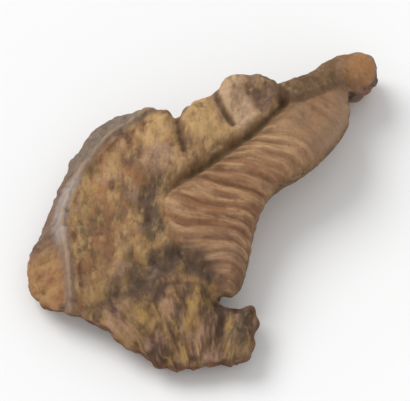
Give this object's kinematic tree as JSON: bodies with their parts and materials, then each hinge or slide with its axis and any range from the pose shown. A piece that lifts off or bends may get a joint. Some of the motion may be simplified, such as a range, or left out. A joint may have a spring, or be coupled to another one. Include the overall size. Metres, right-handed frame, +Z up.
{
  "type": "dried slippery jack mushroom slice",
  "caption": "Dried lengthwise slice of a slippery jack mushroom: half a curled cap with raised skin edge, flesh, ribbed tube layer, rolled margin and a torn stub of stem.",
  "frame": {"origin": "bottom centre of the bounding box, on the surface that the slice lies on", "axes": "+Z up, out of the upper cut face; +X towards the pore side and the rolled margin; +Y from the torn stem end to the far edge of the cap"},
  "size_m": [0.0334, 0.0332, 0.0092],
  "materials": {
    "dried_flesh": "matte dried mushroom flesh, tan to grey-brown, wrinkled and fibrous"
  },
  "bodies": {
    "root": {"mushroom_slice": "dried_flesh"}
  },
  "joints": []
}
